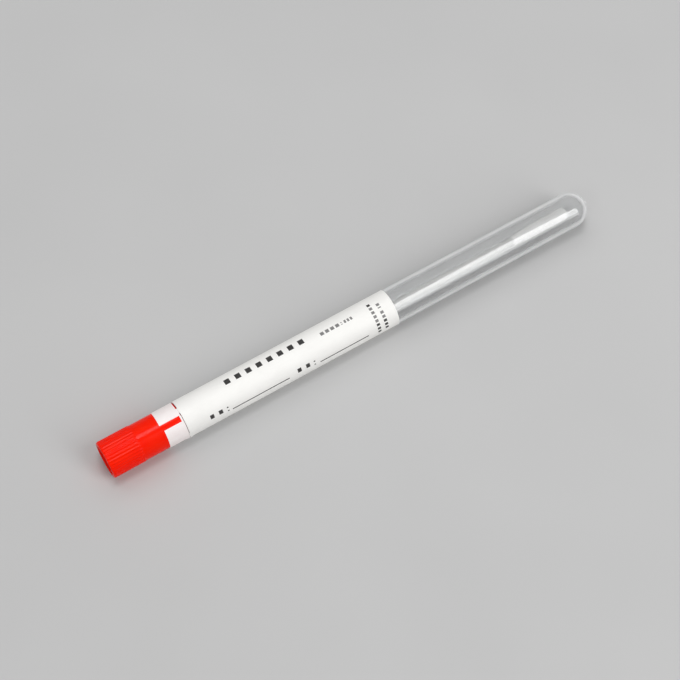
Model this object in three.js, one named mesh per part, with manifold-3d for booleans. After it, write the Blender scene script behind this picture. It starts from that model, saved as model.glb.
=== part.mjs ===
// A disposable specimen swab tube, lying on its side: a round-bottomed plastic tube, a push-in stopper
// with the swab fixed in it, and a paper label that is slit where the stopper leaves the tube.
// Millimetres. +X runs along the axis from the stopper to the round end, +Z is up.
// Stations are distances along the axis from the stopper's end, and angles turn from +Y towards +Z.
import * as THREE from "three";
import { mergeVertices } from "three/addons/utils/BufferGeometryUtils.js";
import Module from "manifold-3d";

const wasm = await Module();
wasm.setup();

// ---- Driving dimensions ----------------------------------------------------------------------------

// Tube: a round-bottomed tube with a slight draft, and the stub of its injection gate at the pole.
const TUBE_LENGTH = 151.65;
const TUBE_MOUTH_RADIUS = 6.055;
const TUBE_DRAFT = 0.105; // how much the radius falls from the mouth to the round end
const TUBE_WALL = 0.9;
const TUBE_FLOOR_WALL = 1.0;
const TUBE_LIP_CHAMFER = 0.15;
const GATE_STUB_RADIUS = 0.42;
const GATE_STUB_TAPER = 0.2;
const GATE_STUB_HEIGHT = 0.75;

// Stopper: the head that is gripped, and the hollow plug that enters the tube.
const HEAD_LENGTH = 26.3;
const HEAD_INSET = 0.055; // how far the head lies inside the line of the tube
const RIM_WIDTH = 1.1;
const RIM_ROUNDING = 0.35;
const RECESS_DEPTH = 1.8;
const RECESS_ROUNDING = 0.25;
const WEB_THICKNESS = 1.3;
const PLUG_LENGTH = 8.0;
const PLUG_WALL = 0.9;
const PLUG_LEAD_IN = 0.7;
const SEAL_BEAD_WIDTH = 1.2;
const SEAL_BEAD_OFFSET = 1.7; // from the shoulder to the first bead
const SEAL_BEAD_PITCH = 2.9;
const BOSS_WALL = 1.08;
const BOSS_SETBACK = 2.0; // from the plug's end
const SOCKET_FLOOR = 1.3;
const SOCKET_LEAD_IN = 0.35;

// Grip ribs round the stopper's head.
const RIB_COUNT = 36;
const RIB_HEIGHT = 0.2;
const RIB_START = 0.5;
const RIB_LENGTH = 10.7;
const RIB_END_SLOPE = 0.4;
const RIB_CREST_SHARE = 0.34; // of the pitch
const RIB_FOOT_SHARE = 0.6;
const RIB_ROOT_DEPTH = 0.15; // how far the ribs run on inside the head

// Swab: a plastic shaft with a wound fibre bud.
const SHAFT_RADIUS = 1.25;
const SHAFT_END_ROUNDING = 0.2;
const BUD_LENGTH = 21.5;
const BUD_FIBRE = 0.85; // thickness of the fibre round the shaft
const BUD_FIBRE_AT_START = 0.25;
const BUD_TAPER_LENGTH = 17.0;
const BUD_END_DEPTH = 1.7; // of the rounded end
const BUD_BEYOND_SHAFT = 1.6;
const BUD_TO_TUBE_FLOOR = 6.0;

// Paper label: a sleeve on the tube, and a band on the stopper that the slit line parts from it.
const PAPER = 0.09;
const LABEL_LENGTH = 75.9;
const SEAM_ANGLE = 290;
const SEAM_GAP = 0.3;
const BAND_LENGTH = 7.25;
const BAND_EDGE_RUN = 0.65; // the band's free edge runs back this far over its wrap
const NOTCH_ANGLE = 110.6;
const NOTCH_WIDTH_ANGLE = 18.75;
const NOTCH_WEB = 0.55; // paper left between the notch and the slit line
const SLIT_WIDTH = 0.3;
const TIE_COUNT = 4;
const TIE_FIRST_ANGLE = 86.5;
const TIE_WIDTH_ANGLE = 18;
const GAPE = 0.35; // how far the band's edge is pulled back where the slit gapes
const GAPE_ANGLE = 45;
const GAPE_WIDTH_ANGLE = 60;

// Clearances.
const SHOULDER_GAP = 0.05; // stopper's shoulder to the tube's lip
const PLUG_CLEARANCE = 0.15; // plug to the bore
const BEAD_CLEARANCE = 0.03; // sealing beads to the bore
const SHAFT_CLEARANCE = 0.02; // shaft in its socket and in the bud
const SHAFT_END_GAP = 0.1;
const GLUE_LINE = 0.02; // label to what it is stuck on
const TIE_GAP = 0.03; // parted tie to the band

const FACETS = 36; // round the axis, with a flat at the bottom
const FACET_ANGLE = 360 / FACETS;
const ARC_STEPS = 10;

// ---- Stations and radii that follow -----------------------------------------------------------------

const TUBE_END_RADIUS = TUBE_MOUTH_RADIUS - TUBE_DRAFT;
const TUBE_MOUTH = HEAD_LENGTH + SHOULDER_GAP;
const TUBE_POLE = TUBE_MOUTH + TUBE_LENGTH;
const TUBE_DOME = TUBE_POLE - TUBE_END_RADIUS;
const TUBE_FLOOR = TUBE_POLE - TUBE_FLOOR_WALL;
const OVERALL_LENGTH = TUBE_POLE + GATE_STUB_HEIGHT;
const HEAD_RADIUS = TUBE_MOUTH_RADIUS - HEAD_INSET;
const RECESS_RADIUS = HEAD_RADIUS - RIM_WIDTH;
const PLUG_END = HEAD_LENGTH + PLUG_LENGTH;
const PLUG_RADIUS = boreRadiusAt(PLUG_END) - PLUG_CLEARANCE;
const CAVITY_RADIUS = PLUG_RADIUS - PLUG_WALL;
const BOSS_END = PLUG_END - BOSS_SETBACK;
const WEB_INSIDE = RECESS_DEPTH + WEB_THICKNESS;
const SOCKET_BOTTOM = WEB_INSIDE + SOCKET_FLOOR;
const BUD_END = TUBE_FLOOR - BUD_TO_TUBE_FLOOR;
const BUD_START = BUD_END - BUD_LENGTH;
const SHAFT_START = SOCKET_BOTTOM + SHAFT_END_GAP;
const SHAFT_END = BUD_END - BUD_BEYOND_SHAFT;
const SOCKET_RADIUS = SHAFT_RADIUS + SHAFT_CLEARANCE;
const BOSS_RADIUS = SOCKET_RADIUS + BOSS_WALL;
const BUD_RADIUS = SHAFT_RADIUS + BUD_FIBRE;
const CREST_RADIUS = HEAD_RADIUS + RIB_HEIGHT;
const RIB_PITCH = 360 / RIB_COUNT; // degrees
const BAND_EDGE = HEAD_LENGTH - SLIT_WIDTH / 2;
const LABEL_START = BAND_EDGE + SLIT_WIDTH;

// Two ribs straddle the lowest line of the head, so the head rests on a pair of crests.
const AXIS_HEIGHT = CREST_RADIUS * Math.cos(radians((RIB_PITCH * (1 - RIB_CREST_SHARE)) / 2));

function radians(degrees) {
  return (degrees * Math.PI) / 180;
}

/** The tube's outer radius at a station of its straight wall. */
function tubeRadiusAt(station) {
  const share = (station - TUBE_MOUTH) / (TUBE_DOME - TUBE_MOUTH);
  return THREE.MathUtils.lerp(TUBE_MOUTH_RADIUS, TUBE_END_RADIUS, share);
}

/** The bore's radius at a station of the tube's straight wall. */
function boreRadiusAt(station) {
  return tubeRadiusAt(station) - TUBE_WALL;
}

// ---- Solid helpers ----------------------------------------------------------------------------------

// A lathe turns about its own Y, and an extrusion rises along its own Z: both are laid along +X.
const LATHE_TO_AXIS = new THREE.Matrix4().makeBasis(
  new THREE.Vector3(0, 0, 1),
  new THREE.Vector3(1, 0, 0),
  new THREE.Vector3(0, 1, 0),
);
const EXTRUSION_TO_AXIS = new THREE.Matrix4().makeBasis(
  new THREE.Vector3(0, 1, 0),
  new THREE.Vector3(0, 0, 1),
  new THREE.Vector3(1, 0, 0),
);

/** A round body from a profile of [radius, station] points that starts and ends on the axis. */
function turned(profile) {
  const points = profile.map(([radius, station]) => new THREE.Vector2(radius, station));
  const start = radians(FACET_ANGLE / 2);
  return new THREE.LatheGeometry(points, FACETS, start, 2 * Math.PI).applyMatrix4(LATHE_TO_AXIS);
}

/** A prism from polar [angle, radius] points, with an optional polar hole, between two stations. */
function prism(outline, start, end, hole = null) {
  const shape = new THREE.Shape(outline.map(polarPoint));
  if (hole) shape.holes.push(new THREE.Path(hole.map(polarPoint)));
  return new THREE.ExtrudeGeometry(shape, { depth: end - start, bevelEnabled: false })
    .translate(0, 0, start)
    .applyMatrix4(EXTRUSION_TO_AXIS);
}

function polarPoint([angle, radius]) {
  return new THREE.Vector2(radius * Math.cos(radians(angle)), radius * Math.sin(radians(angle)));
}

/** Angles of the facet corners, from start to end. */
function cornerAngles(start = 0, end = 360) {
  const corners = [];
  for (let angle = FACET_ANGLE / 2; angle < end; angle += FACET_ANGLE) {
    if (angle > start) corners.push(angle);
  }
  return corners;
}

/** Points of a quarter arc in a profile, from one end to the other, with both ends. */
function arc(centreRadius, centreStation, radius, depth, from, to, steps = ARC_STEPS) {
  return Array.from({ length: steps + 1 }, (_, i) => {
    const angle = radians(THREE.MathUtils.lerp(from, to, i / steps));
    return [centreRadius + radius * Math.cos(angle), centreStation + depth * Math.sin(angle)];
  });
}

/** A closed three.js geometry as a solid that can be cut and joined. */
function solidOf(geometry) {
  const bare = new THREE.BufferGeometry().setAttribute("position", geometry.getAttribute("position"));
  if (geometry.index) bare.setIndex(geometry.index);
  const merged = mergeVertices(bare, 1e-4);
  return new wasm.Manifold(
    new wasm.Mesh({
      numProp: 3,
      vertProperties: new Float32Array(merged.attributes.position.array),
      triVerts: new Uint32Array(merged.index.array),
    }),
  );
}

/** A solid as a three.js geometry. */
function geometryOf(solid) {
  const { vertProperties, triVerts } = solid.getMesh();
  const geometry = new THREE.BufferGeometry()
    .setAttribute("position", new THREE.BufferAttribute(new Float32Array(vertProperties), 3))
    .setIndex(new THREE.BufferAttribute(new Uint32Array(triVerts), 1));
  geometry.computeVertexNormals();
  return geometry;
}

/** A named node of the object. */
function node(name, geometry, material) {
  const mesh = new THREE.Mesh(geometry, material);
  mesh.name = name;
  return mesh;
}

// ---- Materials --------------------------------------------------------------------------------------

const frostedPlastic = new THREE.MeshStandardMaterial({
  color: 0xdfe3e2,
  roughness: 0.35,
  metalness: 0,
  transparent: true,
  opacity: 0.45,
});
const redPlastic = new THREE.MeshStandardMaterial({ color: 0xf52312, roughness: 0.4, metalness: 0 });
const whitePlastic = new THREE.MeshStandardMaterial({ color: 0xf0efec, roughness: 0.45, metalness: 0 });
const whiteFibre = new THREE.MeshStandardMaterial({ color: 0xfaf9f5, roughness: 0.95, metalness: 0 });
const labelPaper = new THREE.MeshStandardMaterial({ color: 0xf6f4f1, roughness: 0.75, metalness: 0 });

// ---- Tube -------------------------------------------------------------------------------------------

function tubeGeometry() {
  const boreDome = TUBE_END_RADIUS - TUBE_WALL;
  const stubFoot = TUBE_DOME + Math.sqrt(TUBE_END_RADIUS ** 2 - GATE_STUB_RADIUS ** 2);
  const stubFootAngle = THREE.MathUtils.radToDeg(Math.acos(GATE_STUB_RADIUS / TUBE_END_RADIUS));
  return turned([
    [0, TUBE_FLOOR],
    ...arc(0, TUBE_DOME, boreDome, TUBE_FLOOR - TUBE_DOME, 90, 0).slice(1),
    [boreRadiusAt(TUBE_MOUTH + TUBE_LIP_CHAMFER), TUBE_MOUTH + TUBE_LIP_CHAMFER],
    [boreRadiusAt(TUBE_MOUTH) + TUBE_LIP_CHAMFER, TUBE_MOUTH],
    [TUBE_MOUTH_RADIUS - TUBE_LIP_CHAMFER, TUBE_MOUTH],
    [tubeRadiusAt(TUBE_MOUTH + TUBE_LIP_CHAMFER), TUBE_MOUTH + TUBE_LIP_CHAMFER],
    ...arc(0, TUBE_DOME, TUBE_END_RADIUS, TUBE_END_RADIUS, 0, stubFootAngle).slice(0, -1),
    [GATE_STUB_RADIUS, stubFoot],
    [GATE_STUB_RADIUS - GATE_STUB_TAPER, OVERALL_LENGTH],
    [0, OVERALL_LENGTH],
  ]);
}

// ---- Stopper ----------------------------------------------------------------------------------------

/** The plug's outside from the shoulder to its lead-in, with a raised bead at each sealing line. */
function plugProfile() {
  const points = [[PLUG_RADIUS, HEAD_LENGTH]];
  const half = SEAL_BEAD_WIDTH / 2;
  const last = PLUG_END - PLUG_LEAD_IN - half;
  for (let middle = HEAD_LENGTH + SEAL_BEAD_OFFSET; middle < last; middle += SEAL_BEAD_PITCH) {
    points.push(
      [PLUG_RADIUS, middle - half],
      [boreRadiusAt(middle) - BEAD_CLEARANCE, middle],
      [PLUG_RADIUS, middle + half],
    );
  }
  points.push([PLUG_RADIUS, PLUG_END - PLUG_LEAD_IN], [PLUG_RADIUS - PLUG_LEAD_IN / 2, PLUG_END]);
  return points;
}

function stopperBody() {
  const rimInside = RECESS_RADIUS + RECESS_ROUNDING;
  const rimOutside = HEAD_RADIUS - RIM_ROUNDING;
  return turned([
    [0, RECESS_DEPTH],
    [RECESS_RADIUS, RECESS_DEPTH],
    ...arc(rimInside, RECESS_ROUNDING, RECESS_ROUNDING, RECESS_ROUNDING, 180, 270, 3),
    ...arc(rimOutside, RIM_ROUNDING, RIM_ROUNDING, RIM_ROUNDING, 270, 360, 4),
    [HEAD_RADIUS, HEAD_LENGTH],
    ...plugProfile(),
    [CAVITY_RADIUS, PLUG_END],
    [CAVITY_RADIUS, WEB_INSIDE],
    [BOSS_RADIUS, WEB_INSIDE],
    [BOSS_RADIUS, BOSS_END],
    [SOCKET_RADIUS + SOCKET_LEAD_IN, BOSS_END],
    [SOCKET_RADIUS, BOSS_END - SOCKET_LEAD_IN],
    [SOCKET_RADIUS, SOCKET_BOTTOM],
    [0, SOCKET_BOTTOM],
  ]);
}

/** The ring of grip ribs, with sloped ends. Ribs and slopes run on a little way inside the head. */
function gripRibs() {
  const crest = (RIB_PITCH * RIB_CREST_SHARE) / 2;
  const foot = (RIB_PITCH * RIB_FOOT_SHARE) / 2;
  const root = foot + ((foot - crest) * RIB_ROOT_DEPTH) / RIB_HEIGHT;
  const rootRadius = HEAD_RADIUS - RIB_ROOT_DEPTH;
  const outline = [];
  for (let rib = 0; rib < RIB_COUNT; rib++) {
    const middle = (rib + 0.5) * RIB_PITCH;
    outline.push(
      [middle - root, rootRadius],
      [middle - crest, CREST_RADIUS],
      [middle + crest, CREST_RADIUS],
      [middle + root, rootRadius],
    );
  }
  const hole = cornerAngles().map((angle) => [angle, rootRadius - RIB_ROOT_DEPTH]);
  const end = RIB_START + RIB_LENGTH;
  const sink = RIB_START - RIM_ROUNDING;
  const slope = RIB_HEIGHT / RIB_END_SLOPE;
  const endSlopes = turned([
    [0, RIB_START - sink],
    [HEAD_RADIUS - slope * sink, RIB_START - sink],
    [CREST_RADIUS + RIB_HEIGHT, RIB_START + 2 * RIB_END_SLOPE],
    [CREST_RADIUS + RIB_HEIGHT, end - 2 * RIB_END_SLOPE],
    [HEAD_RADIUS - slope * sink, end + sink],
    [0, end + sink],
  ]);
  return solidOf(prism(outline, RIB_START - sink, end + sink, hole)).intersect(solidOf(endSlopes));
}

function stopperGeometry() {
  return geometryOf(solidOf(stopperBody()).add(gripRibs()));
}

// ---- Swab -------------------------------------------------------------------------------------------

function shaftGeometry() {
  const flat = SHAFT_RADIUS - SHAFT_END_ROUNDING;
  return turned([
    [0, SHAFT_START],
    [flat, SHAFT_START],
    [SHAFT_RADIUS, SHAFT_START + SHAFT_END_ROUNDING],
    [SHAFT_RADIUS, SHAFT_END - SHAFT_END_ROUNDING],
    [flat, SHAFT_END],
    [0, SHAFT_END],
  ]);
}

/** The wound bud: it swells from the shaft to its full radius and ends in a blunt dome. */
function budGeometry() {
  const taperSteps = 6;
  const boreEnd = SHAFT_END + SHAFT_END_GAP;
  const domeStart = BUD_END - BUD_END_DEPTH;
  const swelling = Array.from({ length: taperSteps + 1 }, (_, i) => {
    const share = i / taperSteps;
    const eased = Math.sin((share * Math.PI) / 2);
    return [
      SHAFT_RADIUS + THREE.MathUtils.lerp(BUD_FIBRE_AT_START, BUD_FIBRE, eased),
      BUD_START + share * BUD_TAPER_LENGTH,
    ];
  });
  return turned([
    [0, boreEnd],
    [SOCKET_RADIUS, boreEnd],
    [SOCKET_RADIUS, BUD_START],
    ...swelling,
    ...arc(0, domeStart, BUD_RADIUS, BUD_END_DEPTH, 0, 90).slice(0, -1),
    [0, BUD_END],
  ]);
}

// ---- Label ------------------------------------------------------------------------------------------

/** The radius at an angle on the flat-sided ring whose corners lie at the given radius. */
function facetRadius(angle, cornerRadius) {
  const fromMiddle = angle - FACET_ANGLE * Math.round(angle / FACET_ANGLE);
  return (cornerRadius * Math.cos(radians(FACET_ANGLE / 2))) / Math.cos(radians(fromMiddle));
}

/** A sector of the flat-sided ring, a given angle wide, as a polar outline. */
function sector(middle, width, innerRadius, outerRadius) {
  const start = middle - width / 2;
  const end = middle + width / 2;
  const angles = [start, ...cornerAngles(start, end), end];
  return [
    ...angles.map((angle) => [angle, facetRadius(angle, outerRadius)]),
    ...angles.reverse().map((angle) => [angle, facetRadius(angle, innerRadius)]),
  ];
}

/** The tube's sleeve: one turn of paper whose edges meet at the seam, with the parted ties. */
function sleeveGeometry() {
  const inner = TUBE_MOUTH_RADIUS + GLUE_LINE;
  const outer = inner + PAPER;
  const turn = 360 - THREE.MathUtils.radToDeg(SEAM_GAP / outer);
  const wrap = sector(SEAM_ANGLE + 180, turn, inner, outer);
  let sleeve = solidOf(prism(wrap, LABEL_START, LABEL_START + LABEL_LENGTH));
  for (let tie = 0; tie < TIE_COUNT; tie++) {
    const tab = sector(TIE_FIRST_ANGLE + (tie * 360) / TIE_COUNT, TIE_WIDTH_ANGLE, inner, outer);
    sleeve = sleeve.add(solidOf(prism(tab, BAND_EDGE + TIE_GAP, LABEL_START + PAPER)));
  }
  return followDraft(geometryOf(sleeve));
}

/** Draws each section in towards the axis as the tube's draft does. */
function followDraft(geometry) {
  const position = geometry.getAttribute("position");
  for (let i = 0; i < position.count; i++) {
    const scale = tubeRadiusAt(position.getX(i)) / TUBE_MOUTH_RADIUS;
    position.setY(i, position.getY(i) * scale);
    position.setZ(i, position.getZ(i) * scale);
  }
  return geometry;
}

/** The stopper's band: it starts and ends at the notch, and its free edge runs back over the wrap. */
function bandGeometry() {
  const inner = HEAD_RADIUS + GLUE_LINE;
  const outer = inner + PAPER;
  const start = BAND_EDGE - BAND_LENGTH;
  const hole = cornerAngles().map((angle) => [angle, inner]);
  const ring = prism(cornerAngles().map((angle) => [angle, outer]), start, BAND_EDGE, hole);
  const position = ring.getAttribute("position");
  for (let i = 0; i < position.count; i++) {
    if (position.getX(i) < start + PAPER) {
      const angle = THREE.MathUtils.radToDeg(Math.atan2(position.getZ(i), position.getY(i)));
      const wrapped = THREE.MathUtils.euclideanModulo(angle - NOTCH_ANGLE, 360) / 360;
      position.setX(i, start + BAND_EDGE_RUN * (1 - wrapped));
    }
  }
  const cutInner = inner - PAPER;
  const cutOuter = outer + PAPER;
  const notch = prism(
    sector(NOTCH_ANGLE, NOTCH_WIDTH_ANGLE, cutInner, cutOuter),
    start - PAPER,
    BAND_EDGE - NOTCH_WEB,
  );
  const gape = prism(
    sector(GAPE_ANGLE, GAPE_WIDTH_ANGLE, cutInner, cutOuter),
    BAND_EDGE - GAPE,
    BAND_EDGE + PAPER,
  );
  return geometryOf(solidOf(ring).subtract(solidOf(notch)).subtract(solidOf(gape)));
}

// ---- Assembly ---------------------------------------------------------------------------------------

const heldTube = new THREE.Group();
heldTube.add(node("tube", tubeGeometry(), frostedPlastic));
heldTube.add(node("tube_label", sleeveGeometry(), labelPaper));

const drawnSwab = new THREE.Group();
drawnSwab.add(node("stopper", stopperGeometry(), redPlastic));
drawnSwab.add(node("stopper_band", bandGeometry(), labelPaper));
drawnSwab.add(node("swab_shaft", shaftGeometry(), whitePlastic));
drawnSwab.add(node("swab_bud", budGeometry(), whiteFibre));

const swabTube = new THREE.Group();
swabTube.add(heldTube, drawnSwab);
swabTube.position.set(-OVERALL_LENGTH / 2, 0, AXIS_HEIGHT);

export default swabTube;
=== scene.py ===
import logging
import math
from dataclasses import dataclass, field
from enum import Enum
from typing import Iterable, Mapping, Sequence

import bpy
import numpy as np
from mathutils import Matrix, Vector


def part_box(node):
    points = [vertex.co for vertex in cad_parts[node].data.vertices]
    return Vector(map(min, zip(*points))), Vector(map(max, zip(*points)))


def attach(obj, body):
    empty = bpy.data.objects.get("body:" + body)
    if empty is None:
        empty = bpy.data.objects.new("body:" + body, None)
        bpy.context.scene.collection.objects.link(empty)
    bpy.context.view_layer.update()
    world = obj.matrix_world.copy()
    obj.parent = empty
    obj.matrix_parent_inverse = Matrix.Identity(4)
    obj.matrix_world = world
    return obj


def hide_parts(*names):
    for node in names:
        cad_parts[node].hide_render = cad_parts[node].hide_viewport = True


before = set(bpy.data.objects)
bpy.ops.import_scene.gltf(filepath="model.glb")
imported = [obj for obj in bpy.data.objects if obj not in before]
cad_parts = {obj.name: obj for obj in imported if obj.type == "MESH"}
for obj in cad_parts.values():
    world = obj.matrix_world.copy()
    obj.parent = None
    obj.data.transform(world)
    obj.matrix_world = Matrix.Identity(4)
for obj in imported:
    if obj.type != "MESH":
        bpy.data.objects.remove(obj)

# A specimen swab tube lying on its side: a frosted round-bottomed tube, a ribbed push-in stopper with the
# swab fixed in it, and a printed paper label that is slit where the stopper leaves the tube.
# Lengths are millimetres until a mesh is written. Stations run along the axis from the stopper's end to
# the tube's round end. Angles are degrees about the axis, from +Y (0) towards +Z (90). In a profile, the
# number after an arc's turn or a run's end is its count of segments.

log = logging.getLogger("swab_tube")

MM = 0.001
FULL_TURN = 360.0

# Points closer than this, in millimetres, are one point, and edges are rounded to as many decimals.
TOUCHING = 1e-6
DECIMALS = 6

Colour = tuple[float, float, float, float]
Triple = tuple[float, float, float]
Pair = tuple[float, float]

WHITE: Colour = (1.0, 1.0, 1.0, 1.0)

TUBE_BODY = "tube_body"
SWAB_BODY = "stopper_and_swab"


# ---- Arrays of points ------------------------------------------------------------------------------------


def smooth_step(share: np.ndarray) -> np.ndarray:
    """An S-curve: 3t² - 2t³ of the share t, held between 0 and 1."""
    held = np.clip(share, 0.0, 1.0)
    return held * held * (3.0 - 2.0 * held)


def angle_apart(angles: np.ndarray, middle: float) -> np.ndarray:
    """How far each angle is from the middle one, the short way round, in degrees."""
    return np.abs((angles - middle + FULL_TURN / 2) % FULL_TURN - FULL_TURN / 2)


def even_angles(count: int) -> np.ndarray:
    """A full turn in equal steps, without its end."""
    return np.arange(count) * FULL_TURN / count


def arc(centre: Pair, radius: float, turn: Pair, steps: int, depth: float | None = None) -> np.ndarray:
    """A round or elliptic arc in a profile.

    Point t is (centre radius + radius · cos t, centre station + depth · sin t), with t from one angle of
    the turn to the other.

    Args:
        centre: The centre's radius and station.
        radius: The half axis across.
        turn: The first and last angle in degrees.
        steps: The number of segments.
        depth: The half axis along, when it isn't the same.

    Returns:
        Rows of (radius, station).
    """
    angle = np.radians(np.linspace(turn[0], turn[1], steps + 1))
    along = radius if depth is None else depth
    return np.column_stack((centre[0] + radius * np.cos(angle), centre[1] + along * np.sin(angle)))


def run(start: Pair, end: Pair, steps: int) -> np.ndarray:
    """A straight piece of profile in equal steps, without its start."""
    return np.linspace(start, end, steps + 1)[1:]


def profile_of(*pieces: Iterable[Sequence[float]]) -> np.ndarray:
    """Joins pieces of profile and drops points that repeat.

    Args:
        pieces: Rows of (radius, station), in order.

    Returns:
        Rows of (radius, station).
    """
    rows = np.vstack([np.asarray(list(piece), float).reshape(-1, 2) for piece in pieces])
    moved = np.linalg.norm(np.diff(rows, axis=0), axis=1) > TOUCHING
    return rows[np.concatenate(([True], moved))]


def rings(radius: np.ndarray, station: np.ndarray, angles: np.ndarray) -> np.ndarray:
    """Rings of points about the axis.

    A point is (station, radius · cos angle, radius · sin angle).

    Args:
        radius: Radii, as rows by angles or anything that spreads to it.
        station: Stations, likewise.
        angles: The angles of the columns in degrees.

    Returns:
        Points, as rows by columns by 3.
    """
    turn = np.radians(angles)[None, :]
    radius, station, turn = np.broadcast_arrays(radius, station, turn)
    return np.stack((station, radius * np.cos(turn), radius * np.sin(turn)), axis=2)


@dataclass
class Skin:
    """A mesh in the making: points, triangles and quads, and a material index for each face in that order."""

    points: np.ndarray
    triangles: np.ndarray
    quads: np.ndarray
    finish: np.ndarray

    def __post_init__(self) -> None:
        """Leaves out the points that no face uses."""
        used = np.unique(np.concatenate((self.triangles, self.quads), axis=None))
        new_index = np.full(len(self.points), -1)
        new_index[used] = np.arange(len(used))
        self.points = self.points[used]
        self.triangles, self.quads = new_index[self.triangles], new_index[self.quads]

    @staticmethod
    def of_rings(grid: np.ndarray) -> "Skin":
        """Joins rings into a closed skin, or into one for each strand.

        Face (i, j) joins points j and j + 1 of ring i to the same of ring i + 1, round the full turn. A
        ring without width becomes one pole point, and its faces become triangles.

        Args:
            grid: Points, as rings by columns by 3, or as strands by rings by columns by 3.

        Returns:
            The skin, whose faces point outwards when the profile runs forwards on the outside.
        """
        index = np.arange(grid.size // 3).reshape(grid.shape[:-1])
        pole = np.ptp(grid, axis=-2).max(axis=-1) < TOUCHING
        index[pole] = index[pole][:, :1]
        cells = Skin._cells(index).reshape(-1, 4)
        opening, closing = cells[:, 0] == cells[:, 1], cells[:, 2] == cells[:, 3]
        triangles = np.vstack((cells[opening][:, [0, 2, 3]], cells[closing][:, [0, 1, 2]]))
        quads = cells[~opening & ~closing]
        finish = np.zeros(len(triangles) + len(quads), np.int32)
        return Skin(grid.reshape(-1, 3), triangles, quads, finish)

    @staticmethod
    def turned(profile: np.ndarray, columns: int) -> "Skin":
        """A profile of (radius, station) turned about the axis."""
        return Skin.of_rings(rings(profile[:, :1], profile[:, 1:], even_angles(columns)))

    @staticmethod
    def of_sheet(outer: np.ndarray, inner: np.ndarray, present: np.ndarray, wraps: bool,
                 print_index: np.ndarray) -> "Skin":
        """A sheet with thickness, made of the cells that are present.

        Each present cell has an outer face and an inner one turned round, and a wall on every side where
        its neighbour is absent.

        Args:
            outer: The outer points, as rows by columns by 3.
            inner: The inner points, likewise.
            present: Which cells there are, as cell rows by cell columns.
            wraps: Whether the last column joins the first.
            print_index: The material index of each cell's outer face.

        Returns:
            The closed skin.
        """
        rows, columns = outer.shape[:2]
        index = np.arange(rows * columns).reshape(rows, columns)
        cells = Skin._cells(index)[:, :columns if wraps else columns - 1]
        under = rows * columns
        around = np.pad(np.pad(present, ((1, 1), (0, 0))), ((0, 0), (1, 1)), "wrap" if wraps else "constant")
        top = cells[present]
        quads = [top, top[:, ::-1] + under]
        neighbours = around[:-2, 1:-1], around[1:-1, 2:], around[2:, 1:-1], around[1:-1, :-2]
        for side, neighbour in enumerate(neighbours):
            bare = cells[present & ~neighbour]
            first, second = bare[:, side], bare[:, (side + 1) % 4]
            quads.append(np.stack((second, first, first + under, second + under), axis=1))
        finish = np.zeros(sum(map(len, quads)), np.int32)
        finish[:len(top)] = print_index[present]
        points = np.vstack((outer.reshape(-1, 3), inner.reshape(-1, 3)))
        return Skin(points, np.zeros((0, 3), int), np.vstack(quads), finish)

    @staticmethod
    def _cells(index: np.ndarray) -> np.ndarray:
        """The corners of the cells round a grid: points j and j + 1 of row i, then of row i + 1 backwards."""
        low, high = index[..., :-1, :], index[..., 1:, :]
        return np.stack((low, np.roll(low, -1, axis=-1), np.roll(high, -1, axis=-1), high), axis=-1)

    @staticmethod
    def of_strands(paths: np.ndarray, across: np.ndarray, up: np.ndarray, radius: np.ndarray,
                   sides: int) -> "Skin":
        """Many thin strands, each a tube of a few sides along its own path, closed at both ends.

        Ring point k is path + radius · (cos k · across + sin k · up). The first and last rings have no
        width, so each end is one point.

        Args:
            paths: Points of the paths, as strands by steps by 3.
            across: A unit direction across each path point.
            up: A unit direction at right angles to the path and to across.
            radius: The radius at each step, with 0 at both ends.
            sides: The number of sides.

        Returns:
            The skin of all strands.
        """
        turn = np.arange(sides)[:, None] * 2 * math.pi / sides
        width = radius[:, None, None]
        sideways = width * np.cos(turn) * across[:, :, None, :]
        return Skin.of_rings(paths[:, :, None, :] + sideways + width * np.sin(turn) * up[:, :, None, :])

    def highest(self, values: np.ndarray) -> np.ndarray:
        """The highest of the values at each face's corners."""
        return np.concatenate((values[self.triangles].max(axis=1), values[self.quads].max(axis=1)))

    def faces(self) -> list[list[int]]:
        """The faces as lists of their corners."""
        return self.triangles.tolist() + self.quads.tolist()

    def triangle_count(self) -> int:
        """How many triangles the skin comes to, with two for each quad."""
        return len(self.triangles) + 2 * len(self.quads)


def add_object(name: str, data: bpy.types.ID) -> bpy.types.Object:
    """Adds an object to the scene.

    Args:
        name: Its name.
        data: Its mesh, light or camera.

    Returns:
        The object.
    """
    made = bpy.data.objects.new(name, data)
    bpy.context.scene.collection.objects.link(made)
    return made


def turn_from(made: bpy.types.Object, back: Vector) -> None:
    """Turns a light or a camera so that it looks away from the direction back."""
    made.rotation_mode = "QUATERNION"
    made.rotation_quaternion = back.to_track_quat("Z", "Y")


@dataclass(frozen=True)
class Placing:
    """Where the model lies, in metres: the stopper's end along X, and the height of the axis."""

    start: float
    height: float

    @staticmethod
    def from_frame() -> "Placing":
        """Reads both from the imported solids."""
        tube_low, tube_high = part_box("tube")
        return Placing(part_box("stopper")[0].x, (tube_low.z + tube_high.z) / 2)

    def in_metres(self, points: np.ndarray) -> np.ndarray:
        """Points of (station, y, z) about the axis in millimetres, as metres where the model lies."""
        return points * MM + np.array((self.start, 0.0, self.height))


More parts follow.
